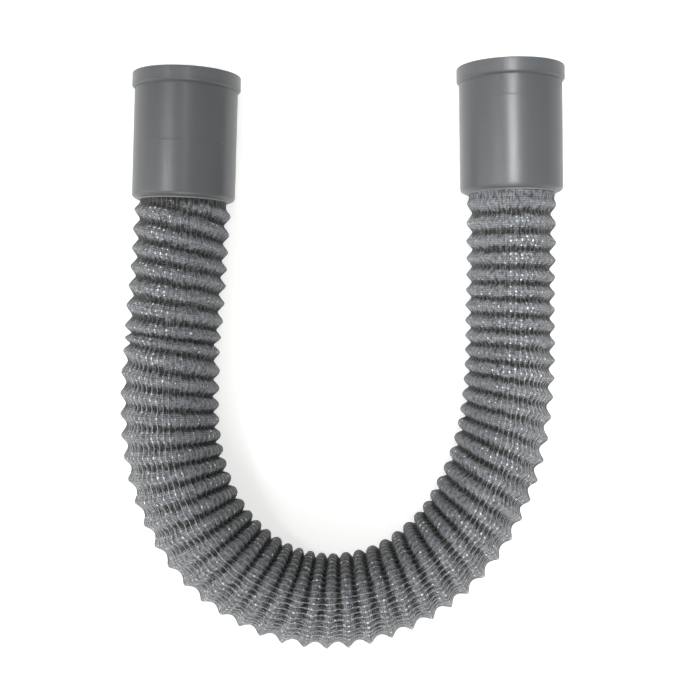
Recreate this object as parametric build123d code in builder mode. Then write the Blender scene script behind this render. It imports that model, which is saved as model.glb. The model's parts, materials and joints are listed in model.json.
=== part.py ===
from build123d import *
import os
from math import isclose, pi, radians, tan

os.makedirs("parts", exist_ok=True)

# Sewer hose kit: a corrugated waste hose with a swivelling pipe collar on each end.
# Millimetres, +Z up. The kit lies on the floor, Z = 0, bent into a U that opens
# towards +Y. The origin is on the floor, midway between the two collars.

# ---------------------------------------------------------------- collars
pipe_diameter = 88.9            # waste pipe that slips into either collar
socket_clearance = 0.15         # per side
socket_depth = 50.0
socket_lead_in = 1.5            # chamfer at the mouth
collar_length = 119.5
socket_wall = 4.55
chamber_wall = 4.65             # round the cuff
lip_proud = 2.5                 # how far the lip stands out of the body
lip_height = 12.8
lip_foot = 1.8                  # slope from the lip down to the body
lip_round = 1.2
shadow_groove_width = 1.2       # narrow groove under the lip's foot
shadow_groove_depth = 0.5
stop_thickness = 4.0            # shoulder that the pipe stops on
stop_relief = 0.9               # the stop's hole is this much wider than the hose's bore, per side
end_round = 4.4                 # rounded edge at the hose end

# ---------------------------------------------------------------- swivel
cuff_wall = 3.35                # round the hose's neck
swivel_clearance = 0.3          # per side, cuff to collar
face_clearance = 0.3            # cuff's inner end to the pipe stop
cuff_rim_proud = 1.0            # the cuff's rim stands this far out of the collar
cuff_ledge = 3.0                # the hose's end butts on this ledge
bond_gap = 0.15                 # cement between the hose's neck and the cuff
rim_bevel = 0.6
ring_height = 14.0              # retaining ring, above the collar's hose end
ring_thickness = 2.4
ring_in_cuff = 1.5              # how deep the ring stands in the cuff
ring_in_collar = 1.5            # and in the collar
ring_clearance = 0.2            # all round the ring, in both grooves
ring_gap_angle = 12.0           # the split that lets the ring snap in
seal_height = 30.0
seal_width = 3.0
seal_groove_depth = 1.9
seal_clearance = 0.05           # all round the seal
seal_corner = 0.8

# ---------------------------------------------------------------- hose
bore_reduction = 12.7           # the hose's bore is the pipe's outside less this
liner_thickness = 0.9
neck_thickness = 1.55           # the cover where it is gathered into a plain neck
cover_thickness = 0.9
corrugation_depth = 5.3         # the crests stand this far out of the neck
wire_diameter = 2.0
ply_gap = 0.15                  # between one ply and the next
neck_showing = 1.5              # plain neck between the cuff's rim and the first crest
flare_length = 4.5              # neck to first crest
bend_start = -280.0             # Y where the legs end and the bend starts

bore_radius = (pipe_diameter - bore_reduction) / 2
liner_radius = bore_radius + liner_thickness
neck_radius = liner_radius + ply_gap + neck_thickness
hose_radius = neck_radius + corrugation_depth

# Centreline of the hose, from the left collar's hose end to the right one's. The
# first and last runs are the collars' own axes, which the hose follows up into the
# cuffs too; the legs sink from them to the floor. Each corner is an arc of 0.45 of
# its shorter run.
floor_level = hose_radius
dip_level = floor_level + 1.5   # where a leg comes off the floor
seat_level = floor_level + 3.12  # at the collars, which are the wider pieces
route = [
    (-158.26, -63.55, seat_level),
    (-160.4, -131.3, dip_level),
    (-174.5, -262.0, floor_level),
    (-166.5, -344.0, floor_level),
    (-120.0, -412.0, floor_level),
    (-46.0, -451.0, floor_level),
    (38.0, -443.0, floor_level),
    (105.0, -393.0, floor_level),
    (145.0, -323.0, floor_level),
    (157.5, -254.0, floor_level),
    (158.3, -123.7, dip_level),
    (157.36, -55.88, seat_level),
]
arc_share = 0.45

# ---------------------------------------------------------------- worked out
cuff_radius = neck_radius + bond_gap + cuff_wall
chamber_radius = cuff_radius + swivel_clearance
socket_radius = pipe_diameter / 2 + socket_clearance
stop_radius = bore_radius + stop_relief
body_radius = max(socket_radius + socket_wall, chamber_radius + chamber_wall)
lip_radius = body_radius + lip_proud

lip_base = collar_length - lip_height
stop_top = collar_length - socket_depth
stop_bottom = stop_top - stop_thickness
cuff_top = stop_bottom - face_clearance
hose_seat = cuff_top - cuff_ledge
flare_start = -cuff_rim_proud - neck_showing
first_crest = flare_start - flare_length

ring_inner_radius = cuff_radius - ring_in_cuff
ring_outer_radius = chamber_radius + ring_in_collar
ring_groove = ring_thickness + 2 * ring_clearance
seal_groove_radius = cuff_radius - seal_groove_depth
seal_groove = seal_width + 2 * seal_clearance

cover_bore_radius = hose_radius - cover_thickness
wire_radius = cover_bore_radius - ply_gap


def corner_radii(points):
    """Radius of the arc at each inner point, as large as its two runs allow."""
    radii = []
    for before, here, after in zip(points, points[1:], points[2:]):
        incoming = Vector(here) - Vector(before)
        outgoing = Vector(after) - Vector(here)
        half_turn = radians(incoming.get_angle(outgoing)) / 2
        shorter = min(incoming.length, outgoing.length)
        radii.append(arc_share * shorter / tan(half_turn))
    return radii


def collar_seat(hose_end, next_point):
    """Plane at a collar's hose end: its Z runs up the axis and out of the mouth."""
    end = Vector(hose_end)
    axis = (end - Vector(next_point)).normalized()
    across = axis.cross(Vector(0, 0, 1)).normalized()
    return Plane(end, x_dir=across, z_dir=axis)


def profile_plane(seat):
    """Half section of a turned piece: local X is the radius, local Y the height."""
    return Plane(seat.origin, x_dir=seat.x_dir, z_dir=-seat.y_dir)


def turning_axis(seat):
    return Axis(seat.origin, seat.z_dir)


def height_above(seat, height):
    return seat.origin + seat.z_dir * height


radii = corner_radii(route)
seats = {
    "left": collar_seat(route[0], route[1]),
    "right": collar_seat(route[-1], route[-2]),
}


def hose_ply(outer, inner, start_height):
    """One ply as a plain tube, from a height on the left seat to it on the right."""
    first = height_above(seats["left"], start_height)
    last = height_above(seats["right"], start_height)
    with BuildPart() as tube:
        with BuildLine():
            path = FilletPolyline(first, *route[1:-1], last, radius=radii)
        with BuildSketch(Plane(first, z_dir=path % 0)):
            Circle(outer)
            Circle(inner, mode=Mode.SUBTRACT)
        sweep(path=path)
    swept = pi * (outer**2 - inner**2) * path.length
    print(f"ply {outer:.2f}/{inner:.2f}: length {path.length:.1f},",
          f"volume {tube.part.volume:.0f}, section x length {swept:.0f}")
    return tube.part


# Planes that cut a ply into its two legs and its bend
bend_plane = Plane.XZ.offset(-bend_start)
middle_plane = Plane.YZ
leg_side = {"left": Keep.BOTTOM, "right": Keep.TOP}

# ---------------------------------------------------------------- ends
for end, seat in seats.items():
    axis = turning_axis(seat)
    section = profile_plane(seat)

    # Collar: pipe socket, stop, and the chamber that turns on the cuff
    with BuildPart() as collar:
        with BuildSketch(section):
            with BuildLine():
                Polyline(
                    (chamber_radius, 0),
                    (body_radius, 0),
                    (body_radius, lip_base - lip_foot - shadow_groove_width),
                    (body_radius - shadow_groove_depth, lip_base - lip_foot - shadow_groove_width),
                    (body_radius - shadow_groove_depth, lip_base - lip_foot),
                    (body_radius, lip_base - lip_foot),
                    (lip_radius, lip_base),
                    (lip_radius, collar_length),
                    (socket_radius, collar_length),
                    (socket_radius, stop_top),
                    (stop_radius, stop_top),
                    (stop_radius, stop_bottom),
                    (chamber_radius, stop_bottom),
                    close=True,
                )
            make_face()
            with Locations((chamber_radius, ring_height)):
                Rectangle(2 * (ring_in_collar + ring_clearance), ring_groove, mode=Mode.SUBTRACT)
        revolve(axis=axis)
        rims = collar.edges().filter_by(GeomType.CIRCLE).sort_by(axis)
        hose_end_edge = [e for e in rims if isclose(e.radius, body_radius)][0]
        fillet(hose_end_edge, min(end_round, body_radius - chamber_radius - rim_bevel / 2))
        lip_edges = [e for e in rims if isclose(e.radius, lip_radius)]
        fillet(lip_edges, lip_round)
        mouth_edge = [e for e in rims if isclose(e.radius, socket_radius)][-1]
        chamfer(mouth_edge, socket_lead_in)
    collar.part.label = f"{end}_collar"
    export_step(collar.part, f"parts/{end}_collar.step")

    # Cuff: cemented on the hose's neck; the collar turns on it
    with BuildPart() as cuff:
        with BuildSketch(section):
            with BuildLine():
                Polyline(
                    (neck_radius + bond_gap, -cuff_rim_proud),
                    (cuff_radius, -cuff_rim_proud),
                    (cuff_radius, cuff_top),
                    (bore_radius, cuff_top),
                    (bore_radius, hose_seat),
                    (neck_radius + bond_gap, hose_seat),
                    close=True,
                )
            make_face()
            with Locations((cuff_radius, ring_height)):
                Rectangle(2 * (ring_in_cuff + ring_clearance), ring_groove, mode=Mode.SUBTRACT)
            with Locations((cuff_radius, seal_height)):
                Rectangle(2 * seal_groove_depth, seal_groove, mode=Mode.SUBTRACT)
        revolve(axis=axis)
        rims = cuff.edges().filter_by(GeomType.CIRCLE).sort_by(axis)
        outer_rims = [e for e in rims if isclose(e.radius, cuff_radius)]
        chamfer([outer_rims[0], outer_rims[-1]], rim_bevel)
    cuff.part.label = f"{end}_cuff"
    export_step(cuff.part, f"parts/{end}_cuff.step")

    # Retaining ring: split, and sprung half into each groove
    with BuildPart() as retaining_ring:
        with BuildSketch(section):
            with Locations(((ring_inner_radius + ring_outer_radius) / 2, ring_height)):
                Rectangle(ring_outer_radius - ring_inner_radius, ring_thickness)
        revolve(axis=axis, revolution_arc=360 - ring_gap_angle)
    retaining_ring.part.label = f"{end}_retaining_ring"
    export_step(retaining_ring.part, f"parts/{end}_retaining_ring.step")

    # Swivel seal: rubber ring squeezed between the cuff's groove and the chamber
    seal_inside = seal_groove_radius + seal_clearance
    seal_outside = chamber_radius - seal_clearance
    with BuildPart() as swivel_seal:
        with BuildSketch(section):
            with Locations(((seal_inside + seal_outside) / 2, seal_height)):
                RectangleRounded(seal_outside - seal_inside, seal_width, seal_corner)
        revolve(axis=axis)
    swivel_seal.part.label = f"{end}_swivel_seal"
    export_step(swivel_seal.part, f"parts/{end}_swivel_seal.step")

# ---------------------------------------------------------------- hose plies
liner_tube = hose_ply(liner_radius, bore_radius, hose_seat)
wire_tube = hose_ply(wire_radius, wire_radius - wire_diameter, first_crest)
cover_tube = hose_ply(hose_radius, cover_bore_radius, first_crest)

for end, seat in seats.items():
    with BuildPart() as hose_liner:
        add(liner_tube)
        split(bisect_by=bend_plane, keep=Keep.BOTTOM)
        split(bisect_by=middle_plane, keep=leg_side[end])
    hose_liner.part.label = f"hose_liner_{end}"
    export_step(hose_liner.part, f"parts/hose_liner_{end}.step")

    with BuildPart() as hose_wire:
        add(wire_tube)
        split(bisect_by=bend_plane, keep=Keep.BOTTOM)
        split(bisect_by=middle_plane, keep=leg_side[end])
    hose_wire.part.label = f"hose_wire_{end}"
    export_step(hose_wire.part, f"parts/hose_wire_{end}.step")

    # The cover's leg also has the plain neck in the cuff and the flare to the crests
    neck_bore_radius = liner_radius + ply_gap
    with BuildPart() as hose_cover:
        add(cover_tube)
        split(bisect_by=bend_plane, keep=Keep.BOTTOM)
        split(bisect_by=middle_plane, keep=leg_side[end])
        with BuildSketch(profile_plane(seat)):
            with BuildLine():
                Polyline(
                    (neck_bore_radius, hose_seat),
                    (neck_radius, hose_seat),
                    (neck_radius, flare_start),
                    (hose_radius, first_crest),
                    (cover_bore_radius, first_crest),
                    (neck_bore_radius, flare_start),
                    close=True,
                )
            make_face()
        revolve(axis=turning_axis(seat))
    hose_cover.part.label = f"hose_cover_{end}"
    export_step(hose_cover.part, f"parts/hose_cover_{end}.step")

with BuildPart() as hose_liner_bend:
    add(liner_tube)
    split(bisect_by=bend_plane, keep=Keep.TOP)
hose_liner_bend.part.label = "hose_liner_bend"
export_step(hose_liner_bend.part, "parts/hose_liner_bend.step")

with BuildPart() as hose_wire_bend:
    add(wire_tube)
    split(bisect_by=bend_plane, keep=Keep.TOP)
hose_wire_bend.part.label = "hose_wire_bend"
export_step(hose_wire_bend.part, "parts/hose_wire_bend.step")

with BuildPart() as hose_cover_bend:
    add(cover_tube)
    split(bisect_by=bend_plane, keep=Keep.TOP)
hose_cover_bend.part.label = "hose_cover_bend"
export_step(hose_cover_bend.part, "parts/hose_cover_bend.step")

# ---------------------------------------------------------------- figures
print("arc radii", [round(r) for r in radii])
for end, seat in seats.items():
    mouth = height_above(seat, collar_length)
    print(end, "mouth", tuple(mouth), "axis", tuple(seat.z_dir), "hose end", tuple(seat.origin))
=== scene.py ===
import json

import bpy
import numpy as np
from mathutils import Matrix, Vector
from bpy.props import (
    FloatProperty, FloatVectorProperty, IntProperty, PointerProperty)


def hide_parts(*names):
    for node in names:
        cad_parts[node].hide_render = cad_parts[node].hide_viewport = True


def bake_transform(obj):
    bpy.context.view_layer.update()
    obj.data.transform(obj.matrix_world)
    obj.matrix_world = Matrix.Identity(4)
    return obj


bl_info = {
    "name": "Sewer hose kit",
    "version": (1, 0, 0),
    "blender": (4, 5, 0),
    "location": "View3D > Sidebar > Hose kit",
    "description": "Corrugated mesh-covered waste hose with a swivelling collar on each end",
    "category": "Object",
}

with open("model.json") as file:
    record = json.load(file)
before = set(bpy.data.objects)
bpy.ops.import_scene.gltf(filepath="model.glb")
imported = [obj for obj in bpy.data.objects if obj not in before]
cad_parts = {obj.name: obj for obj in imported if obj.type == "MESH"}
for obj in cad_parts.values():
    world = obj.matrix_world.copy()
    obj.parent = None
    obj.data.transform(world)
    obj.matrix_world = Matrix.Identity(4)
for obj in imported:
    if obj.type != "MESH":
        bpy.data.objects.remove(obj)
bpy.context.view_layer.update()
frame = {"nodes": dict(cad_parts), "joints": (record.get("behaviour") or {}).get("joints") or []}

# ------------------------------------------------------------------ the hose's lie
# Route of the hose, from the left collar's hose end to the right one's, in metres.
ROUTE = (
    (-0.15826, -0.06355, 0.04912),
    (-0.1626, -0.1309, 0.0475),
    (-0.1751, -0.2623, 0.0462),
    (-0.1632, -0.3429, 0.0462),
    (-0.1206, -0.4118, 0.0458),
    (-0.0464, -0.4532, 0.045),
    (0.0385, -0.4443, 0.0444),
    (0.1067, -0.3941, 0.0443),
    (0.142, -0.3217, 0.0442),
    (0.1565, -0.2541, 0.044),
    (0.1566, -0.1236, 0.046),
    (0.15736, -0.05588, 0.04912),
)
# The tables give (distance along the hose, value), both in millimetres.
PITCH = ((0, 19.3), (60, 16.7), (118, 19.1), (128, 12.7), (140, 11.8), (152, 19.8),
         (200, 17.2), (300, 18.8), (390, 16.8), (470, 16.2), (540, 17.8), (640, 17.7),
         (730, 17.5), (800, 15.2), (870, 15.2), (952, 19.7))
FIRST_TURN = -0.84  # number of the spiral's turn at the start of the route
LEAN = ((14, 10.6), (101, 0), (126, -3.9), (154, 5.8), (226, 0), (511, 0), (593, 8.7),
        (715, 8.7), (810, 0), (930, -8.7))
CREST = ((0, 46.0), (84, 45.9), (120, 46.7), (135, 45.6), (156, 46.8), (264, 47.3),
         (336, 46.8), (408, 45.4), (480, 45.1), (516, 44.3), (624, 44.6), (732, 44.0),
         (768, 43.4), (840, 42.8), (952, 42.7))
VALLEY = ((0, 39.2), (120, 39.8), (135, 39.0), (156, 40.4), (264, 41.3), (336, 40.9),
          (408, 39.2), (480, 38.3), (552, 37.2), (624, 38.2), (732, 37.0), (840, 37.0),
          (876, 36.2), (952, 36.6))
NECK_RADIUS = 40.7
NECK_FLAT = 1.5  # the neck stays plain this far in from each end
NECK_RISE = 11.0  # and the crests have risen in full this much further in
UNEVEN = 0.35  # size of the small irregularity of crests and valleys
MM = 0.001

# From here on, sizes are in metres and angles in radians.
CREST_ARM = 0.046  # crest radius at which the bend's stretch is worked out
EVEN_WIDTH = 0.05  # the bend is evened out over this length each way
TURNS_MARGIN = 0.1  # turns are counted this far past each end
GATHER_FATTENS = 4.5  # how much gathered cloth fattens its crests
STRETCH_OPENS = 2.4  # how much stretched cloth widens its valleys
TIP_EASE = 0.38  # how much the zigzag's tips are rounded
ROW_PULL = 0.055  # how far the grid's rows are drawn towards crests and valleys
FLOOR_GAP = 0.0003
CREST_SEED, VALLEY_SEED, SWAY_SEED, BEAD_SEED = 3, 5, 11, 21

COVER_TAIL = 0.036  # how far the cover and the film run on into each cuff
LINER_TAIL = 0.062
NECK_PAINTED_LIGHT = (0.010, 0.004, 0.45)  # right neck's band of painted light: length, fade, crest share
YARN_MARGIN = 0.0015  # yarns stop this far short of each end
YARN_STEPS = 10  # points of a yarn per turn
YARN_SIDES = 3
YARN_SWAY = 0.010  # how far a yarn wanders round the hose
YARN_LIFT = 0.4  # how far its middle stands above the cloth, in yarn radii
BRIDGE = (0.02, 1.9)  # share of a valley that a slack yarn bridges, and more when taut
BEAD_ROWS = (-0.26, -0.02, 0.22)  # beads beside and on a crest, in turns from it
BEAD_MARGIN = 0.004
BEAD_SIZES = (0.9, 1.7)  # in yarn radii
WIRE_DEPTH = 0.0011  # cloth over the wire
WIRE_MARGIN = 0.012
WIRE_STEPS = 44
FILM_BORE, FILM_RIDGE, FILM_DEPTH = 0.0381, 0.0016, 0.0022
LIP = (0.104, 0.112)  # where a collar's lip starts and is full, above its hose end

FLOOR_HALF, FLOOR_DROP = 4.0, 0.0004
FLOOR_GLOW = 0.62
SKY_STRENGTH = 0.55
KIT_MIDDLE = (0.0, -0.22, 0.04)
# Lamps: name, place, aim, size, watts, colour, spread in degrees
LAMPS = (
    ("front", (-0.1, -1.5, 1.4), KIT_MIDDLE, (0.9, 0.5), 15.0, (1.0, 0.99, 0.97), 180),
    ("over right", (0.1, 0.08, 1.45), (0.16, -0.10, 0.05), (0.17, 0.5), 0.38,
     (1.0, 1.0, 1.0), 24),
    ("over left", (-0.78, 0.0, 1.2), (-0.16, -0.2, 0.05), (0.16, 0.5), 0.36,
     (1.0, 1.0, 1.0), 40),
    ("left", (-1.3, -0.2, 0.5), KIT_MIDDLE, (0.3, 0.9), 4.0, (1.0, 0.98, 0.94), 180),
)


def look_up(table, s):
    """Value of a table at distance s (metres), on straight lines between its rows."""
    where, value = np.array(table, float).T
    return np.interp(s / MM, where, value)


def unit(vectors):
    """Vectors made one long, along the last axis."""
    return vectors / np.linalg.norm(vectors, axis=-1, keepdims=True)


def ease(x):
    """Smooth step: 3x^2 - 2x^3 between 0 and 1, flat outside."""
    x = np.clip(x, 0.0, 1.0)
    return x * x * (3.0 - 2.0 * x)


def ripple(a, b, seed, waves=7):
    """Soft irregularity of about -1..1: a sum of sines with fixed, seeded waves."""
    draw = np.random.default_rng(seed)
    total = np.zeros(np.broadcast(a, b).shape)
    for _ in range(waves):
        fa, fb, phase = draw.uniform(0.4, 1.6), draw.integers(1, 5), draw.uniform(0, 6.28)
        total += np.sin(a * fa + b * fb + phase)
    return total / np.sqrt(waves) / 1.4


class HoseLine:
    """Centreline of the hose, read from the route's NURBS spline."""

    def __init__(self):
        curve = bpy.data.curves.new("hose_route", "CURVE")
        curve.dimensions = "3D"
        spline = curve.splines.new("NURBS")
        spline.points.add(len(ROUTE) - 1)
        for point, place in zip(spline.points, ROUTE):
            point.co = (*place, 1.0)
        spline.order_u = 3
        spline.use_endpoint_u = True
        spline.resolution_u = 40
        holder = bpy.data.objects.new("hose_route", curve)
        bpy.context.scene.collection.objects.link(holder)
        bpy.context.view_layer.update()
        mesh = bpy.data.meshes.new_from_object(holder)
        flat = np.empty(len(mesh.vertices) * 3)
        mesh.vertices.foreach_get("co", flat)
        self.points = flat.reshape(-1, 3)
        bpy.data.meshes.remove(mesh)
        bpy.data.objects.remove(holder)
        bpy.data.curves.remove(curve)
        steps = np.linalg.norm(np.diff(self.points, axis=0), axis=1)
        self.s = np.concatenate([[0.0], np.cumsum(steps)])
        self.length = self.s[-1]
        ahead = np.gradient(self.points, self.s, axis=0)
        self.ahead = unit(ahead)
        # How sharply it bends, evened out over a few turns of the spiral
        heading = np.unwrap(np.arctan2(self.ahead[:, 1], self.ahead[:, 0]))
        even = np.linspace(0.0, self.length, 400)
        bend = np.gradient(np.interp(even, self.s, heading), even)
        width = int(EVEN_WIDTH / (even[1] - even[0]))
        padded = np.pad(bend, width, mode="edge")
        window = np.hanning(2 * width + 1)
        self.even = even
        self.bend = np.convolve(padded, window / window.sum(), mode="valid")
        # Turns of the spiral passed by each distance: the sum of 1 / pitch
        fine = np.linspace(-TURNS_MARGIN, self.length + TURNS_MARGIN, 6000)
        rate = 1.0 / (look_up(PITCH, fine) * MM)
        turns = np.cumsum((rate[1:] + rate[:-1]) / 2 * np.diff(fine))
        turns = np.concatenate([[0.0], turns])
        self.fine = fine
        self.turns = turns - np.interp(0.0, fine, turns) + FIRST_TURN

    def place(self, s, angle, radius):
        """Point radius away from the centreline at distance s, turned from the U's outer
        side (0) over the top (90 degrees): centre + radius (cos outward + sin up). Past
        either end the line runs on straight."""
        inside = np.clip(s, 0.0, self.length)

        def at_each(rows):
            return np.stack([np.interp(inside, self.s, rows[:, k]) for k in range(3)], -1)

        ahead = unit(at_each(self.ahead))
        centre = at_each(self.points) + (s - inside)[..., None] * ahead
        outward = unit(np.cross(ahead, (0.0, 0.0, 1.0)))
        up = np.cross(outward, ahead)
        arm = np.cos(angle)[..., None] * outward + np.sin(angle)[..., None] * up
        return centre + radius[..., None] * arm

    def reach(self, turn, angle):
        """Distance along the hose at which this turn number stands at this angle: the
        spiral climbs one pitch per round, and leans further on towards the inner side."""
        s = np.interp(turn + angle / (2 * np.pi), self.turns, self.fine)
        return s - self.lean(s, angle)

    def lean(self, s, angle):
        """How far back the spiral leans here: half the table's lean x the cosine."""
        return look_up(LEAN, s) * MM * np.cos(angle) / 2

    def pull(self, s):
        """Bend x crest radius: the cloth's stretch on the very outside of the bend."""
        return np.interp(s, self.even, self.bend) * CREST_ARM

    def taut(self, s, angle):
        """How hard the bend pulls the yarns straight: 0 on a straight leg and inside the
        bend, strongest on the upper outer part of the bend."""
        part = ease(0.45 + 0.9 * np.cos(angle)) * ease(1.5 * np.sin(angle) - 0.4)
        return self.pull(s) * part

    def stretch(self, s, angle):
        """How much longer the cloth is than the centreline here, as a share: more than 0
        outside the bend, less inside."""
        return self.pull(s) * np.cos(angle)


def crest_share(turn, stretch):
    """0 in a valley, 1 on a crest: a zigzag of the turn number whose tips are eased. Where
    the cloth is stretched the valleys open wide, where it is gathered the crests fatten."""
    away = np.abs(2.0 * (turn - np.round(turn)))
    gathered = 1.0 + GATHER_FATTENS * np.clip(-stretch, 0.0, None)
    opened = 1.0 + STRETCH_OPENS * np.clip(stretch, 0.0, None)
    share = (1.0 - away ** gathered) ** opened
    return (1.0 - TIP_EASE) * share + TIP_EASE * ease(share)


def hose_radius(line, s, angle, turn, lift=0.0):
    """Radius of the cover: valley + (crest - valley) x share, drawn in to the plain neck at
    both ends, with small unevenness. lift bridges that share of each valley's depth.
    Returns the radius and the share of a crest."""
    share = crest_share(turn, line.stretch(s, angle))
    share = lift + (1.0 - lift) * share
    valley, crest = look_up(VALLEY, s), look_up(CREST, s)
    crest = crest + UNEVEN * ripple(s * 60.0, angle, CREST_SEED)
    valley = valley + UNEVEN * ripple(s * 90.0, angle, VALLEY_SEED)
    full = valley + (crest - valley) * share
    from_end = np.minimum(s, line.length - s) / MM
    risen = ease((from_end - NECK_FLAT) / NECK_RISE)
    return (NECK_RADIUS + (full - NECK_RADIUS) * risen) * MM, share * risen


def keep_off_floor(points):
    """The hose's weight flattens what would reach below the floor."""
    points[..., 2] = np.maximum(points[..., 2], FLOOR_GAP)
    return points


# ------------------------------------------------------------------ meshes
def new_piece(name, points, faces, uv=None, values=(), smooth=True):
    """Mesh object from point and face arrays, with a UV pair per face corner and named
    float values per point. Points that no face uses are left out."""
    used, index = np.unique(faces.ravel(), return_inverse=True)
    faces = index.reshape(faces.shape)
    points = points.reshape(-1, 3)[used]
    mesh = bpy.data.meshes.new(name)
    mesh.vertices.add(len(points))
    mesh.vertices.foreach_set("co", points.astype(np.float32).ravel())
    sides = faces.shape[1]
    mesh.loops.add(faces.size)
    mesh.loops.foreach_set("vertex_index", faces.astype(np.int32).ravel())
    mesh.polygons.add(len(faces))
    starts = np.arange(0, faces.size, sides, dtype=np.int32)
    mesh.polygons.foreach_set("loop_start", starts)
    mesh.update(calc_edges=True)
    if uv is not None:
        layer = mesh.uv_layers.new(name="Cloth")
        layer.data.foreach_set("uv", uv.astype(np.float32).ravel())
    for label, value in values:
        attribute = mesh.attributes.new(label, "FLOAT", "POINT")
        value = value.reshape(-1)[used].astype(np.float32)
        attribute.data.foreach_set("value", value)
    mesh.validate()
    if smooth:
        mesh.polygons.foreach_set("use_smooth", np.ones(len(mesh.polygons), dtype=bool))
    mesh.update()
    piece = bpy.data.objects.new(name, mesh)
    bpy.context.scene.collection.objects.link(piece)
    return piece


def spiral_sheet(line, tail, rows_per_turn, columns):
    """Grid whose rows keep to one turn number and so follow the crests: column j stands at
    angle 2 pi j / columns, and the last column meets the first one turn further on. The
    sheet ends square, tail metres past each end of the hose. Returns distance, angle and
    turn of each point, the quads, and each quad corner's (round, turn)."""
    share = np.linspace(0.0, 1.0, rows_per_turn, endpoint=False)
    share = share - ROW_PULL * np.sin(4 * np.pi * share) / 2
    first = np.floor(np.interp(-tail, line.fine, line.turns)) - 2
    last = np.ceil(np.interp(line.length + tail, line.fine, line.turns)) + 1
    turn = (np.arange(first, last)[:, None] + share).ravel()
    angle = 2 * np.pi * np.arange(columns) / columns
    turn, angle = np.meshgrid(turn, angle, indexing="ij")
    s = np.clip(line.reach(turn, angle), -tail, line.length + tail)
    rows = len(turn)
    i, j = np.meshgrid(np.arange(rows - 1), np.arange(columns), indexing="ij")
    over = (j == columns - 1) * rows_per_turn
    k = (j + 1) % columns
    keep = i + over + 1 < rows
    i, j, k, over = i[keep], j[keep], k[keep], over[keep]
    quads = np.stack([i * columns + j, (i + 1) * columns + j,
                      (i + over + 1) * columns + k, (i + over) * columns + k], -1)
    flat = s.ravel()[quads]
    keep = np.ptp(flat, axis=1) > 1e-6
    before = (flat <= -tail + 1e-9).all(1)
    past = (flat >= line.length + tail - 1e-9).all(1)
    keep &= ~(before | past)
    quads, i, j = quads[keep], i[keep], j[keep]
    rounds = np.stack([j, j, j + 1, j + 1], -1) / columns
    number = turn[:, 0]
    turns = np.stack([number[i], number[i + 1], number[i + 1], number[i]], -1)
    return s, angle, turn, quads, np.stack([rounds, turns], -1)


def tubes(line_points, radius, sides):
    """Round tubes along a batch of lines (lines x points x 3): each ring stands square to
    its line, on a side vector and the one across it. The first and last rings are drawn
    almost to a point, which closes the ends."""
    count, length = line_points.shape[:2]
    ahead = unit(np.gradient(line_points, axis=1))
    side = unit(np.cross(ahead, (0.031, 0.017, 1.0)))
    across = np.cross(side, ahead)
    angle = 2 * np.pi * np.arange(sides) / sides
    thick = np.full(length, radius)
    thick[[0, -1]] = radius * 0.02
    arm = (np.cos(angle)[:, None] * side[:, :, None]
           + np.sin(angle)[:, None] * across[:, :, None])
    points = line_points[:, :, None] + thick[None, :, None, None] * arm
    a, b, c = np.meshgrid(
        np.arange(count), np.arange(length - 1), np.arange(sides), indexing="ij")
    base = (a * length + b) * sides
    quads = np.stack([base + c, base + sides + c, base + sides + (c + 1) % sides,
                      base + (c + 1) % sides], -1).reshape(-1, 4)
    return points, quads


def beads(centre, long, wide, out, size):
    """One small lens per centre: two rings of six points, 1.1 sizes before and behind the
    middle, between tips 2.4 sizes away. A ring reaches 1.5 sizes to each side and one up
    and down. The lens lies along the long, wide and out directions."""
    turn = 2 * np.pi * np.arange(6) / 6
    ring = np.stack([np.zeros(6), 1.5 * np.cos(turn), np.sin(turn)], -1)
    shape = np.concatenate([[(-2.4, 0, 0)], ring - (1.1, 0, 0),
                            ring + (1.1, 0, 0), [(2.4, 0, 0)]])
    j = np.arange(6)
    k = (j + 1) % 6
    first, last = np.zeros(6, int), np.full(6, 13)
    faces = np.concatenate([
        np.stack([first, 1 + k, 1 + j], -1), np.stack([1 + j, 1 + k, 7 + k], -1),
        np.stack([1 + j, 7 + k, 7 + j], -1), np.stack([7 + j, 7 + k, last], -1)])
    arms = np.stack([long, wide, out], axis=1)
    points = centre[:, None] + size[:, None, None] * np.einsum("pk,nkx->npx", shape, arms)
    faces = faces[None] + len(shape) * np.arange(len(centre))[:, None, None]
    return points, faces.reshape(-1, 3)


# ------------------------------------------------------------------ shader helpers
def feed(tree, socket, value):
    """Links a socket's value in, or sets a plain one."""
    if isinstance(value, bpy.types.NodeSocket):
        tree.links.new(value, socket)
    else:
        socket.default_value = value


def maths(tree, operation, *terms, clamp=False):
    made = tree.nodes.new("ShaderNodeMath")
    made.operation = operation
    made.use_clamp = clamp
    for socket, term in zip(made.inputs, terms):
        feed(tree, socket, term)
    return made.outputs[0]


def times(tree, first, second, clamp=False):
    return maths(tree, "MULTIPLY", first, second, clamp=clamp)


def scaled(tree, value, factor, added, clamp=False):
    """value x factor + added."""
    return maths(tree, "MULTIPLY_ADD", value, factor, added, clamp=clamp)


def off_middle(tree, value, middle=0.5):
    """How far a value lies from the middle, with its sign."""
    return maths(tree, "SUBTRACT", value, middle)


def toned(colour, factor):
    """The colour made factor times as light, and solid."""
    return tuple(min(1.0, c * factor) for c in colour[:3]) + (1.0,)


def span(tree, value, low, high):
    """0 below low, 1 above high, smooth between."""
    made = tree.nodes.new("ShaderNodeMapRange")
    made.interpolation_type = "SMOOTHSTEP"
    feed(tree, made.inputs["Value"], value)
    feed(tree, made.inputs["From Min"], low)
    feed(tree, made.inputs["From Max"], high)
    return made.outputs["Result"]


def noise(tree, vector, scale, detail=3.0, rough=0.55):
    made = tree.nodes.new("ShaderNodeTexNoise")
    feed(tree, made.inputs["Vector"], vector)
    feed(tree, made.inputs["Scale"], scale)
    feed(tree, made.inputs["Detail"], detail)
    feed(tree, made.inputs["Roughness"], rough)
    return made.outputs["Fac"]


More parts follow.
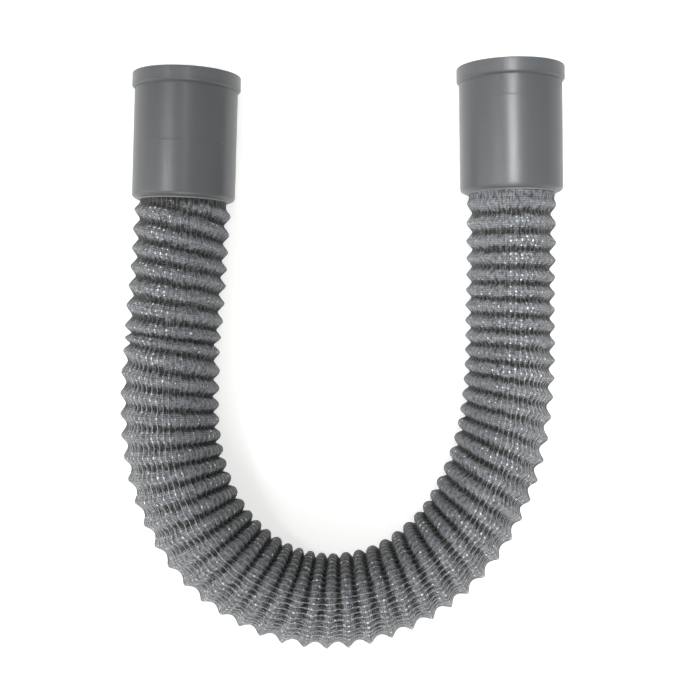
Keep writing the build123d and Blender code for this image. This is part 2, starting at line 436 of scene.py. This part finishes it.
def mix_colour(tree, share, first, second, blend="MIX"):
    made = tree.nodes.new("ShaderNodeMix")
    made.data_type = "RGBA"
    made.blend_type = blend
    for index, value in ((0, share), (6, first), (7, second)):
        feed(tree, made.inputs[index], value)
    return made.outputs[2]


def group(name, inputs, outputs):
    """Empty shader node group with float or vector sockets: returns its tree, the
    sockets that bring its values in and the ones that take them out."""
    tree = bpy.data.node_groups.new(name, "ShaderNodeTree")
    kinds = {"float": "NodeSocketFloat", "vector": "NodeSocketVector"}
    for label, kind, value in inputs:
        made = tree.interface.new_socket(label, in_out="INPUT", socket_type=kinds[kind])
        if value is not None:
            made.default_value = value
    for label, kind in outputs:
        tree.interface.new_socket(label, in_out="OUTPUT", socket_type=kinds[kind])
    given = tree.nodes.new("NodeGroupInput").outputs
    return tree, given, tree.nodes.new("NodeGroupOutput").inputs


def place_group(tree, name, **values):
    """Puts a shared group into a material with its own values; returns its outputs."""
    made = tree.nodes.new("ShaderNodeGroup")
    made.node_tree = bpy.data.node_groups[name]
    for label, value in values.items():
        feed(tree, made.inputs[label.replace("_", " ")], value)
    return made.outputs


def new_material(name, **settings):
    """Material with the given even values set on the shader's own sockets."""
    material = bpy.data.materials.new(name)
    material.use_nodes = True
    tree = material.node_tree
    shader = tree.nodes["Principled BSDF"]
    for label, value in settings.items():
        shader.inputs[label.replace("_", " ")].default_value = value
    return material, tree, shader.inputs


def bump(tree, height, distance, strength=1.0, normal=None):
    made = tree.nodes.new("ShaderNodeBump")
    made.inputs["Strength"].default_value = strength
    made.inputs["Distance"].default_value = distance
    feed(tree, made.inputs["Height"], height)
    if normal is not None:
        feed(tree, made.inputs["Normal"], normal)
    return made.outputs["Normal"]


def give(piece, material):
    piece.data.materials.clear()
    piece.data.materials.append(material)


# ------------------------------------------------------------------ shared effects
def cloth_weave_group():
    """Masks of the cloth from its own UV: lengthwise yarns, fine threads both ways, and the
    places where a yarn crosses a heavier cross thread."""
    tree, given, out = group(
        "cloth_weave",
        (("Round", "float", 0.0), ("Turn", "float", 0.0), ("Yarns", "float", 50.0),
         ("Threads", "float", 200.0), ("Rows", "float", 9.0)),
        (("Yarn", "float"), ("Threads", "float"), ("Crossing", "float")),
    )
    spot = joined(tree, times(tree, given["Round"], 9.0), given["Turn"], 0.0)
    off = times(tree, off_middle(tree, noise(tree, spot, 2.3)), 0.5)

    def line(value, count, wide, soft):
        """Lines this many to the unit, from the distance to the middle of each step."""
        along = maths(tree, "ADD", times(tree, value, count), off)
        away = maths(tree, "ABSOLUTE", off_middle(tree, maths(tree, "FRACT", along)))
        return span(tree, away, wide + soft, wide)

    yarn = line(given["Round"], given["Yarns"], 0.05, 0.1)
    lengthwise = line(given["Round"], given["Threads"], 0.08, 0.3)
    across = line(given["Turn"], given["Rows"], 0.08, 0.3)
    heavy = line(given["Turn"], times(tree, given["Rows"], 0.5), 0.06, 0.12)
    threads = maths(tree, "MAXIMUM", times(tree, lengthwise, 0.8), across)
    feed(tree, out["Yarn"], yarn)
    feed(tree, out["Threads"], threads)
    feed(tree, out["Crossing"], times(tree, yarn, heavy))


def joined(tree, x, y, z):
    made = tree.nodes.new("ShaderNodeCombineXYZ")
    for socket, value in zip(made.inputs, (x, y, z)):
        feed(tree, socket, value)
    return made.outputs[0]


def moulded_skin_group():
    """Skin of a moulded piece: faint cloudiness for the colour, a fine orange-peel height,
    and sparse scuffs, all from the piece's own place."""
    tree, given, out = group(
        "moulded_skin",
        (("Vector", "vector", None), ("Scale", "float", 1.0), ("Scuffs", "float", 0.0)),
        (("Cloud", "float"), ("Peel", "float"), ("Scuff", "float")),
    )
    cloud = noise(tree, given["Vector"], times(tree, given["Scale"], 22.0), 4.0)
    peel = noise(tree, given["Vector"], times(tree, given["Scale"], 900.0), 2.0)
    patch = span(tree, noise(tree, given["Vector"], 34.0, 2.0), 0.56, 0.7)
    marks = span(tree, noise(tree, given["Vector"], 420.0, 3.0, 0.7), 0.57, 0.66)
    feed(tree, out["Cloud"], cloud)
    feed(tree, out["Peel"], peel)
    feed(tree, out["Scuff"], times(tree, times(tree, patch, marks), given["Scuffs"]))


def read_uv(tree, name):
    """The two parts of the piece's own UV map."""
    made = tree.nodes.new("ShaderNodeUVMap")
    made.uv_map = name
    apart = tree.nodes.new("ShaderNodeSeparateXYZ")
    tree.links.new(made.outputs[0], apart.inputs[0])
    return apart.outputs[0], apart.outputs[1]


def read_value(tree, name):
    """A value that the piece's mesh carries at each point."""
    made = tree.nodes.new("ShaderNodeAttribute")
    made.attribute_name = name
    return made.outputs["Fac"]


def object_place(tree):
    return tree.nodes.new("ShaderNodeTexCoord").outputs["Object"]


# ------------------------------------------------------------------ finishes
def cloth_finish(hose):
    """Clear-coated mesh cloth: blue-grey crest bands, painted shade in the dark brown-grey
    valleys and inside the bend, painted light outside it, pale yarns along the hose, and painted
    glints as pale dots where they cross the heavier threads."""
    material, tree, shader = new_material(
        "hose_cloth", Coat_Roughness=0.2, Coat_IOR=1.8, Specular_IOR_Level=0.35)
    around, turn = read_uv(tree, "Cloth")
    crest = read_value(tree, "Crest")
    stretch = read_value(tree, "Stretch")
    yarns = hose.yarn_count
    weave = place_group(tree, "cloth_weave", Round=around, Turn=turn,
                        Yarns=float(yarns), Threads=4.0 * yarns, Rows=9.0)
    spot = joined(tree, times(tree, around, 100.0), times(tree, turn, 3.4), 0.0)
    fleck = scaled(tree, noise(tree, spot, 1.0, 4.0, 0.75), 4.2, -1.6, clamp=True)
    wide = joined(tree, times(tree, around, 16.0), turn, 3.0)
    patch = noise(tree, wide, 1.6, 2.0)
    gathered = maths(tree, "MAXIMUM", times(tree, stretch, -1.0), 0.0)
    pulled = maths(tree, "MAXIMUM", stretch, 0.0)
    # How much of each crest band the cloth shows: broken by flecks and patches, narrowed by
    # painted shade where the cloth is gathered inside the bend, widened by painted light where
    # it is pulled outside it.
    edge = scaled(tree, off_middle(tree, fleck), 0.45, crest)
    edge = scaled(tree, off_middle(tree, patch), 0.4, edge)
    edge = scaled(tree, gathered, -0.9, edge)
    edge = scaled(tree, pulled, 1.3, edge)
    band = span(tree, edge, 0.05, 0.62)
    # Painted shade: the valleys and the plain necks take the dark valley colour in place of the
    # cloth's own
    cloth = mix_colour(tree, band, tuple(hose.valley_colour), tuple(hose.crest_colour))
    # shade: the cloth's own paler threads and random flecks, times painted shade that darkens
    # the gathered inside of the bend
    shade = scaled(tree, weave["Threads"], 0.6, 0.62)
    shade = times(tree, shade, scaled(tree, fleck, 1.15, 0.48))
    shade = times(tree, shade, scaled(tree, gathered, -2.4, 1.0))
    cloth = mix_colour(tree, 1.0, cloth, joined(tree, shade, shade, shade), "MULTIPLY")
    cloth = mix_colour(
        tree, times(tree, weave["Yarn"], 0.25), cloth, tuple(hose.yarn_colour))
    # Painted glints: pale dots where the yarns cross the heavier threads on the crest bands; the
    # same mask also raises the bump and smooths the roughness
    luck = span(tree, noise(tree, spot, 0.37, 2.0), 0.5, 0.6)
    bead_and_glint = times(tree, times(tree, weave["Crossing"], luck), band, clamp=True)
    cloth = mix_colour(tree, times(tree, bead_and_glint, 0.7), cloth, (0.7, 0.72, 0.73, 1.0))
    feed(tree, shader["Base Color"], cloth)
    sealed = times(tree, weave["Crossing"], span(tree, fleck, 0.15, 0.6), clamp=True)
    feed(tree, shader["Coat Weight"], scaled(tree, sealed, 0.9, 0.1))
    rough = scaled(tree, weave["Yarn"], -0.2, 0.5)
    feed(tree, shader["Roughness"], scaled(tree, bead_and_glint, -0.3, rough))
    height = scaled(tree, weave["Yarn"], 0.6, weave["Threads"])
    height = scaled(tree, bead_and_glint, 1.2, height)
    height = scaled(tree, fleck, 1.1, height)
    feed(tree, shader["Normal"], bump(tree, height, 0.001))
    return material


def yarn_finish(hose):
    """Coated filament: pale and a little glossy, darkened by painted shade in the valleys,
    brightened by painted highlight where the bend pulls it taut, with painted glints at some
    crossings.
    """
    material, tree, shader = new_material(
        "yarn_filament", Coat_Weight=0.35, Coat_Roughness=0.12, Specular_IOR_Level=0.5)
    crest = read_value(tree, "Crest")
    turn = read_value(tree, "Turn")
    cloud = noise(tree, object_place(tree), 260.0, 2.0)
    # Painted shade and highlight: the yarn is darkened in the valleys and brightened on crests
    # and where the bend pulls it taut
    taut = scaled(tree, read_value(tree, "Taut"), 13.0, 0.05)
    share = scaled(tree, crest, 0.55, off_middle(tree, taut, 0.2))
    share = scaled(tree, off_middle(tree, cloud), 1.6, share, clamp=True)
    yarn = tuple(hose.yarn_colour)
    colour = mix_colour(tree, share, toned(yarn, 0.25), yarn)
    # Painted glints: pale, smoother spots on the yarn where it crosses a heavier thread, on
    # crests and taut parts
    step = maths(tree, "FRACT", times(tree, turn, 4.5))
    knot_and_glint = span(tree, maths(tree, "ABSOLUTE", off_middle(tree, step)), 0.26, 0.1)
    luck = span(tree, noise(tree, object_place(tree), 95.0, 1.0), 0.46, 0.6)
    knot_and_glint = times(tree, times(tree, knot_and_glint, luck), share)
    bright = (0.72, 0.74, 0.75, 1.0)
    feed(tree, shader["Base Color"], mix_colour(tree, knot_and_glint, colour, bright))
    feed(tree, shader["Roughness"], scaled(tree, knot_and_glint, -0.15, 0.3))
    return material


def bead_finish():
    """Coated thread knots: glossy, their pale colour a painted glint, some duller than others.
    """
    material, tree, shader = new_material(
        "thread_bead_glint", Coat_Weight=0.6, Coat_Roughness=0.1, Specular_IOR_Level=0.5)
    cloud = noise(tree, object_place(tree), 170.0, 1.0)
    cloud = scaled(tree, cloud, 3.0, -0.9, clamp=True)
    # Pale colour: painted glint
    feed(tree, shader["Base Color"],
         mix_colour(tree, cloud, (0.3, 0.31, 0.32, 1.0), (0.95, 0.96, 0.97, 1.0)))
    feed(tree, shader["Roughness"], scaled(tree, cloud, -0.15, 0.35))
    return material


def film_finish(hose):
    """Dark inner film: faintly cloudy, with a fine skin."""
    material, tree, shader = new_material("hose_film", Coat_Weight=0.2, Coat_Roughness=0.3)
    skin = place_group(tree, "moulded_skin", Vector=object_place(tree), Scale=1.5)
    dark = tuple(hose.film_colour)
    colour = mix_colour(tree, skin["Cloud"], dark, toned(dark, 1.9))
    feed(tree, shader["Base Color"], colour)
    feed(tree, shader["Roughness"], scaled(tree, skin["Cloud"], 0.25, 0.38))
    feed(tree, shader["Normal"], bump(tree, skin["Peel"], 0.0002, 0.4))
    return material


def wire_finish():
    """Drawn spring steel: bright, with a fine streaky grain."""
    material, tree, shader = new_material("spring_wire", Metallic=1.0)
    streak = noise(tree, object_place(tree), 700.0, 2.0)
    feed(tree, shader["Base Color"],
         mix_colour(tree, streak, (0.42, 0.42, 0.41, 1.0), (0.62, 0.62, 0.61, 1.0)))
    feed(tree, shader["Roughness"], scaled(tree, streak, 0.3, 0.2))
    feed(tree, shader["Normal"], bump(tree, streak, 0.0001, 0.3))
    return material


def collar_finish(name, collar, seat, axis, witness):
    """Moulded grey plastic: faint cloudiness, orange peel, scuffs that grow on the lip,
    and a witness line of the mould round the body. Height is measured from the seat, the
    hose end, along the axis."""
    material, tree, shader = new_material(
        name, Coat_Weight=0.1, Coat_Roughness=0.28, Specular_IOR_Level=0.5)
    place = object_place(tree)
    skin = place_group(tree, "moulded_skin", Vector=place, Scale=1.0, Scuffs=0.7)
    apart = tree.nodes.new("ShaderNodeVectorMath")
    apart.operation = "SUBTRACT"
    tree.links.new(place, apart.inputs[0])
    apart.inputs[1].default_value = seat
    along = tree.nodes.new("ShaderNodeVectorMath")
    along.operation = "DOT_PRODUCT"
    tree.links.new(apart.outputs[0], along.inputs[0])
    along.inputs[1].default_value = axis
    height = along.outputs["Value"]
    away = maths(tree, "ABSOLUTE", off_middle(tree, height, witness))
    line = span(tree, away, 0.0007, 0.00015)
    base = tuple(collar.colour)
    deep, paler = toned(base, 0.86), toned(base, 1.45)
    colour = mix_colour(tree, skin["Cloud"], deep, base)
    lip = span(tree, height, *LIP)
    wear = times(tree, skin["Scuff"], scaled(tree, lip, 0.6, 0.25))
    colour = mix_colour(tree, wear, colour, paler)
    # The whole lip is also made paler, 40 % of the way
    colour = mix_colour(tree, times(tree, lip, 0.4), colour, paler)
    colour = mix_colour(tree, times(tree, line, 0.25), colour, deep)
    feed(tree, shader["Base Color"], colour)
    rough = scaled(tree, skin["Cloud"], 0.16, collar.roughness)
    feed(tree, shader["Roughness"], scaled(tree, wear, 0.2, rough))
    peel = bump(tree, skin["Peel"], 0.00012, 0.25)
    feed(tree, shader["Normal"], bump(tree, line, 0.0003, 0.6, peel))
    return material


def plain_finish(name, colour, rough, scale, peel_depth, **settings):
    """Plain moulded or turned part: its colour a little cloudy, with a fine skin."""
    material, tree, shader = new_material(name, **settings)
    skin = place_group(tree, "moulded_skin", Vector=object_place(tree), Scale=scale)
    deep = toned(colour, 0.78)
    feed(tree, shader["Base Color"], mix_colour(tree, skin["Cloud"], deep, colour))
    feed(tree, shader["Roughness"], scaled(tree, skin["Cloud"], 0.2, rough))
    feed(tree, shader["Normal"], bump(tree, skin["Peel"], peel_depth, 0.3))
    return material


# ------------------------------------------------------------------ sizes and colours
class HoseSettings(bpy.types.PropertyGroup):
    rows_per_turn: IntProperty(
        name="Rows per turn", description="Grid rows between one crest and the next",
        default=14, min=8, max=24)
    columns: IntProperty(
        name="Columns", description="Grid columns round the hose",
        default=110, min=24, max=160)
    yarn_count: IntProperty(
        name="Yarns", description="Lengthwise yarns round the hose",
        default=50, min=12, max=80)
    yarn_radius: FloatProperty(
        name="Yarn radius", description="Half the thickness of a lengthwise yarn",
        default=0.00036, min=0.0001, max=0.002, unit="LENGTH")
    bead_share: FloatProperty(
        name="Beads", description="Share of the yarn crossings that stand out as a bead",
        default=0.9, min=0, max=1, subtype="FACTOR")
    wire_radius: FloatProperty(
        name="Wire radius", description="Half the thickness of the spring wire",
        default=0.001, min=0.0002, max=0.003, unit="LENGTH")
    wall: FloatProperty(
        name="Film thickness", description="Thickness of the inner film",
        default=0.0006, min=0.0002, max=0.002, unit="LENGTH")
    crest_colour: FloatVectorProperty(
        name="Crest colour", description="Cloth over the wire", subtype="COLOR",
        size=4, default=(0.25, 0.266, 0.283, 1.0), min=0, max=1)
    # Valley colour is painted shade: it stands in for the shade in the recesses between the
    # turns
    valley_colour: FloatVectorProperty(
        name="Valley colour", description="Cloth between the turns", subtype="COLOR",
        size=4, default=(0.044, 0.0425, 0.039, 1.0), min=0, max=1)
    yarn_colour: FloatVectorProperty(
        name="Yarn colour", description="Lengthwise yarns", subtype="COLOR",
        size=4, default=(0.4, 0.415, 0.425, 1.0), min=0, max=1)
    film_colour: FloatVectorProperty(
        name="Film colour", description="Inner film", subtype="COLOR",
        size=4, default=(0.028, 0.028, 0.03, 1.0), min=0, max=1)


class CollarSettings(bpy.types.PropertyGroup):
    colour: FloatVectorProperty(
        name="Plastic", description="Colour of the collars", subtype="COLOR",
        size=4, default=(0.092, 0.0975, 0.103, 1.0), min=0, max=1)
    roughness: FloatProperty(
        name="Roughness", description="How matt the collars are", default=0.29,
        min=0.05, max=1, subtype="FACTOR")
    left_witness: FloatProperty(
        name="Left witness line", description="Height above the left collar's hose end",
        default=0.0515, unit="LENGTH")
    right_witness: FloatProperty(
        name="Right witness line", description="Height above the right collar's hose end",
        default=0.0855, unit="LENGTH")


class StageSettings(bpy.types.PropertyGroup):
    camera_place: FloatVectorProperty(
        name="Camera", description="Where the camera stands, looking straight down",
        subtype="TRANSLATION", size=3, default=(0.0019, -0.2074, 1.193), unit="LENGTH")
    lens: FloatProperty(
        name="Lens", description="Focal length in millimetres",
        default=61.1, min=10, max=200)
    floor_colour: FloatVectorProperty(
        name="Floor", description="Colour of the floor", subtype="COLOR",
        size=4, default=(0.6, 0.6, 0.595, 1.0), min=0, max=1)


class KitSettings(bpy.types.PropertyGroup):
    hose: PointerProperty(type=HoseSettings)
    collar: PointerProperty(type=CollarSettings)
    stage: PointerProperty(type=StageSettings)


def follow_the_bend(piece):
    """Bakes the piece's transform into its mesh."""
    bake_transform(piece)


class HOSEKIT_OT_cover(bpy.types.Operator):
    """Corrugated cloth cover of the hose, from cuff to cuff"""

    bl_idname = "hosekit.cover"
    bl_label = "Cloth cover"

    def execute(self, context):
        hose = context.scene.hose_kit.hose
        line = HoseLine()
        s, angle, turn, quads, corners = spiral_sheet(
            line, COVER_TAIL, hose.rows_per_turn, hose.columns)
        radius, crest = hose_radius(line, s, angle, turn)
        # Painted light: the crest share is raised on the right neck so its cloth takes the paler
        # crest colour
        band, fade, light = NECK_PAINTED_LIGHT
        crest = np.maximum(crest, light * ease((s - line.length + band) / fade))
        points = keep_off_floor(line.place(s, angle, radius))
        piece = new_piece("hose_cover", points, quads, corners,
                          (("Crest", crest), ("Stretch", line.stretch(s, angle))))
        give(piece, cloth_finish(hose))
        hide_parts("hose_cover_left", "hose_cover_bend", "hose_cover_right")
        follow_the_bend(piece)
        return {"FINISHED"}


class HOSEKIT_OT_yarns(bpy.types.Operator):
    """Raised lengthwise yarns that bridge the valleys of the cover"""

    bl_idname = "hosekit.yarns"
    bl_label = "Lengthwise yarns"

    def execute(self, context):
        hose = context.scene.hose_kit.hose
        line = HoseLine()
        count = hose.yarn_count
        angle = 2 * np.pi * (np.arange(count) + 0.5) / count
        first = np.interp(0.0, line.fine, line.turns)
        last = np.interp(line.length, line.fine, line.turns)
        turn = np.arange(first - 0.4, last + 0.4, 1.0 / YARN_STEPS)
        angle, turn = np.meshgrid(angle, turn, indexing="ij")
        turn = turn - angle / (2 * np.pi)
        s = np.clip(line.reach(turn, angle), YARN_MARGIN, line.length - YARN_MARGIN)
        s = s + np.linspace(0, 1e-4, s.shape[1])  # no two points of a yarn in one place
        sway = YARN_SWAY * ripple(s * 120.0, angle * 3, SWAY_SEED)
        taut = np.clip(line.taut(s, angle), 0.0, 0.4)
        slack, pulled = BRIDGE
        radius, crest = hose_radius(line, s, angle + sway, turn, slack + pulled * taut)
        middle = line.place(s, angle + sway, radius + YARN_LIFT * hose.yarn_radius)
        points, quads = tubes(keep_off_floor(middle), hose.yarn_radius, YARN_SIDES)
        values = [(name, np.repeat(value[:, :, None], YARN_SIDES, axis=2))
                  for name, value in (("Crest", crest), ("Turn", turn), ("Taut", taut))]
        piece = new_piece("hose_yarns", points, quads, values=values)
        give(piece, yarn_finish(hose))
        follow_the_bend(piece)
        return {"FINISHED"}


class HOSEKIT_OT_beads(bpy.types.Operator):
    """Raised beads where the yarns cross the heavier threads beside each crest, pale and mostly
    along the top as painted glints
    """

    bl_idname = "hosekit.beads"
    bl_label = "Woven beads"

    def execute(self, context):
        hose = context.scene.hose_kit.hose
        line = HoseLine()
        draw = np.random.default_rng(BEAD_SEED)
        first = np.ceil(np.interp(0.01, line.fine, line.turns))
        last = np.floor(np.interp(line.length - 0.01, line.fine, line.turns))
        around = 2 * np.pi * (np.arange(hose.yarn_count) + 0.5) / hose.yarn_count
        turn = np.arange(first, last)[:, None] + np.array(BEAD_ROWS)
        angle, turn = np.meshgrid(around, turn.ravel(), indexing="ij")
        turn = turn + draw.normal(0, 0.03, turn.shape)
        angle = angle + YARN_SWAY * ripple(turn * 2.1, angle * 3, SWAY_SEED)
        # Most beads stand near a line along the top, and on the outside of the bend: a painted
        # highlight, set where the glints fall
        middle = 0.39 * np.pi + 0.08 * np.pi * np.interp(turn, (first, last), (0.0, 1.0))
        upper = np.exp(-((angle - middle) / 0.4) ** 2)
        s = line.reach(turn, angle)
        upper = np.maximum(upper, np.clip(3.0 * line.stretch(s, angle), 0.0, 0.6))
        keep = draw.uniform(size=turn.shape) < hose.bead_share * (0.2 + 0.8 * upper)
        keep &= (s > BEAD_MARGIN) & (s < line.length - BEAD_MARGIN)
        s, angle, upper = s[keep], angle[keep], upper[keep]
        size = hose.yarn_radius * draw.uniform(*BEAD_SIZES, s.shape) * (0.85 + 0.3 * upper)

        def surface(ds, da):
            """Points of the cover a little further along and round from each bead."""
            number = np.interp(s + ds + line.lean(s, angle), line.fine, line.turns)
            number = number - (angle + da) / (2 * np.pi)
            radius, _ = hose_radius(line, s + ds, angle + da, number)
            return line.place(s + ds, angle + da, radius)

        step, swing = 0.0008, 0.02
        long = unit(surface(step, 0.0) - surface(-step, 0.0))
        wide = surface(0.0, swing) - surface(0.0, -swing)
        out = unit(np.cross(long, wide))
        wide = np.cross(out, long)
        points, faces = beads(surface(0.0, 0.0), long, wide, out, size)
        piece = new_piece("hose_glint_beads", keep_off_floor(points), faces)
        give(piece, bead_finish())
        follow_the_bend(piece)
        return {"FINISHED"}


class HOSEKIT_OT_wire(bpy.types.Operator):
    """Spiral spring wire under the cover's crests"""

    bl_idname = "hosekit.wire"
    bl_label = "Spring wire"

    def execute(self, context):
        hose = context.scene.hose_kit.hose
        line = HoseLine()
        first = np.ceil(np.interp(WIRE_MARGIN, line.fine, line.turns))
        last = np.floor(np.interp(line.length - WIRE_MARGIN, line.fine, line.turns)) - 1
        angle = np.arange(0.0, (last - first) * 2 * np.pi, 2 * np.pi / WIRE_STEPS)
        turn = np.full_like(angle, first)
        s = line.reach(turn, angle)
        radius, _ = hose_radius(line, s, angle, turn)
        middle = line.place(s, angle, radius - WIRE_DEPTH - hose.wire_radius)
        points, quads = tubes(keep_off_floor(middle)[None], hose.wire_radius, 6)
        piece = new_piece("hose_wire", points, quads)
        give(piece, wire_finish())
        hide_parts("hose_wire_left", "hose_wire_bend", "hose_wire_right")
        follow_the_bend(piece)
        return {"FINISHED"}


class HOSEKIT_OT_liner(bpy.types.Operator):
    """Inner film, ridged along the wire, seen through the collars' mouths"""

    bl_idname = "hosekit.liner"
    bl_label = "Inner film"

    def execute(self, context):
        hose = context.scene.hose_kit.hose
        line = HoseLine()
        s, angle, turn, quads, corners = spiral_sheet(line, LINER_TAIL, 8, 48)
        radius, crest = hose_radius(line, s, angle, turn)
        inner = np.minimum(radius - FILM_DEPTH, FILM_BORE + FILM_RIDGE * crest)
        points = line.place(s, angle, inner)
        piece = new_piece("hose_liner", points, quads, corners)
        wall = piece.modifiers.new("wall", "SOLIDIFY")
        wall.thickness = hose.wall
        wall.offset = 1.0
        give(piece, film_finish(hose))
        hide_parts("hose_liner_left", "hose_liner_bend", "hose_liner_right")
        follow_the_bend(piece)
        return {"FINISHED"}


class HOSEKIT_OT_lay(bpy.types.Operator):
    bl_idname = "hosekit.lay"
    bl_label = "Lay of the hose"

    def execute(self, context):
        line = HoseLine()
        return {"FINISHED"}


class HOSEKIT_OT_collars(bpy.types.Operator):
    """Finish of the two moulded collars"""

    bl_idname = "hosekit.collars"
    bl_label = "Collars"

    def execute(self, context):
        collar = context.scene.hose_kit.collar
        for joint in frame["joints"]:
            if not joint["name"].endswith("_swivel"):
                continue
            side = joint["name"].removesuffix("_swivel")
            made = collar_finish(f"collar_plastic_{side}", collar, joint["pos_m"],
                                 joint["axis"], getattr(collar, f"{side}_witness"))
            give(frame["nodes"][f"{side}_collar"], made)
        return {"FINISHED"}


class HOSEKIT_OT_swivels(bpy.types.Operator):
    """Finishes of the cuffs, retaining rings and seals"""

    bl_idname = "hosekit.swivels"
    bl_label = "Cuffs, rings and seals"

    def execute(self, context):
        finishes = {
            "cuff": plain_finish(
                "cuff_plastic", (0.24, 0.25, 0.255, 1.0), 0.4, 1.3, 0.00015,
                Coat_Weight=0.15, Coat_Roughness=0.3),
            "retaining_ring": plain_finish(
                "ring_plastic", (0.55, 0.54, 0.5, 1.0), 0.35, 2.0, 0.0001,
                Subsurface_Weight=0.05),
            "swivel_seal": plain_finish(
                "seal_rubber", (0.02, 0.02, 0.02, 1.0), 0.5, 3.0, 0.0002),
        }
        for kind, made in finishes.items():
            for side in ("left", "right"):
                give(frame["nodes"][f"{side}_{kind}"], made)
        return {"FINISHED"}


def soft_light(name, place, aim, size, power, colour, spread):
    """Area light turned to face its aim."""
    light = bpy.data.lights.new(name, "AREA")
    light.shape = "RECTANGLE"
    light.size, light.size_y = size
    light.spread = np.radians(spread)
    light.energy = power
    light.color = colour
    holder = bpy.data.objects.new(name, light)
    bpy.context.scene.collection.objects.link(holder)
    holder.location = place
    ray = Vector(aim) - Vector(place)
    holder.rotation_euler = ray.to_track_quat("-Z", "Y").to_euler()


class HOSEKIT_OT_stage(bpy.types.Operator):
    """Pale floor, soft studio light and the camera"""

    bl_idname = "hosekit.stage"
    bl_label = "Stage"

    def execute(self, context):
        stage = context.scene.hose_kit.stage
        scene = context.scene
        camera = bpy.data.cameras.new("camera")
        camera.lens = stage.lens
        camera.sensor_width = 36.0
        holder = bpy.data.objects.new("camera", camera)
        holder.location = stage.camera_place
        scene.collection.objects.link(holder)
        scene.camera = holder

        half, low = FLOOR_HALF, -FLOOR_DROP
        corners = np.array([(-half, -half, low), (half, -half, low),
                            (half, half, low), (-half, half, low)])
        floor = new_piece("floor", corners, np.array([[0, 1, 2, 3]]), smooth=False)
        material, tree, shader = new_material("floor_paper", Roughness=0.9)
        grain = noise(tree, object_place(tree), 60.0, 3.0)
        pale = tuple(stage.floor_colour)
        feed(tree, shader["Base Color"], mix_colour(tree, grain, toned(pale, 0.985), pale))
        shader["Emission Color"].default_value = (1.0, 1.0, 0.985, 1.0)
        shader["Emission Strength"].default_value = FLOOR_GLOW
        give(floor, material)

        for lamp in LAMPS:
            soft_light(*lamp)
        world = bpy.data.worlds.new("studio")
        world.use_nodes = True
        sky = world.node_tree.nodes["Background"].inputs
        sky["Color"].default_value = (1.0, 1.0, 1.0, 1.0)
        sky["Strength"].default_value = SKY_STRENGTH
        scene.world = world
        scene.view_settings.view_transform = "Standard"
        return {"FINISHED"}


class HOSEKIT_PT_panel(bpy.types.Panel):
    bl_idname = "HOSEKIT_PT_panel"
    bl_label = "Sewer hose kit"
    bl_space_type = "VIEW_3D"
    bl_region_type = "UI"
    bl_category = "Hose kit"

    def draw(self, context):
        kit = context.scene.hose_kit
        for part in (kit.hose, kit.collar, kit.stage):
            box = self.layout.box()
            for name in part.__annotations__:
                box.prop(part, name)
        for operator in OPERATORS:
            self.layout.operator(operator.bl_idname)


OPERATORS = (
    HOSEKIT_OT_stage,
    HOSEKIT_OT_cover,
    HOSEKIT_OT_yarns,
    HOSEKIT_OT_beads,
    HOSEKIT_OT_wire,
    HOSEKIT_OT_liner,
    HOSEKIT_OT_lay,
    HOSEKIT_OT_collars,
    HOSEKIT_OT_swivels,
)
CLASSES = (HoseSettings, CollarSettings, StageSettings, KitSettings, *OPERATORS,
           HOSEKIT_PT_panel)


def register():
    for item in CLASSES:
        bpy.utils.register_class(item)
    bpy.types.Scene.hose_kit = PointerProperty(type=KitSettings)


def unregister():
    del bpy.types.Scene.hose_kit
    for item in reversed(CLASSES):
        bpy.utils.unregister_class(item)


def main():
    register()
    cloth_weave_group()
    moulded_skin_group()
    for operator in OPERATORS:
        family, name = operator.bl_idname.split(".")
        getattr(getattr(bpy.ops, family), name)()


if __name__ == "__main__":
    main()
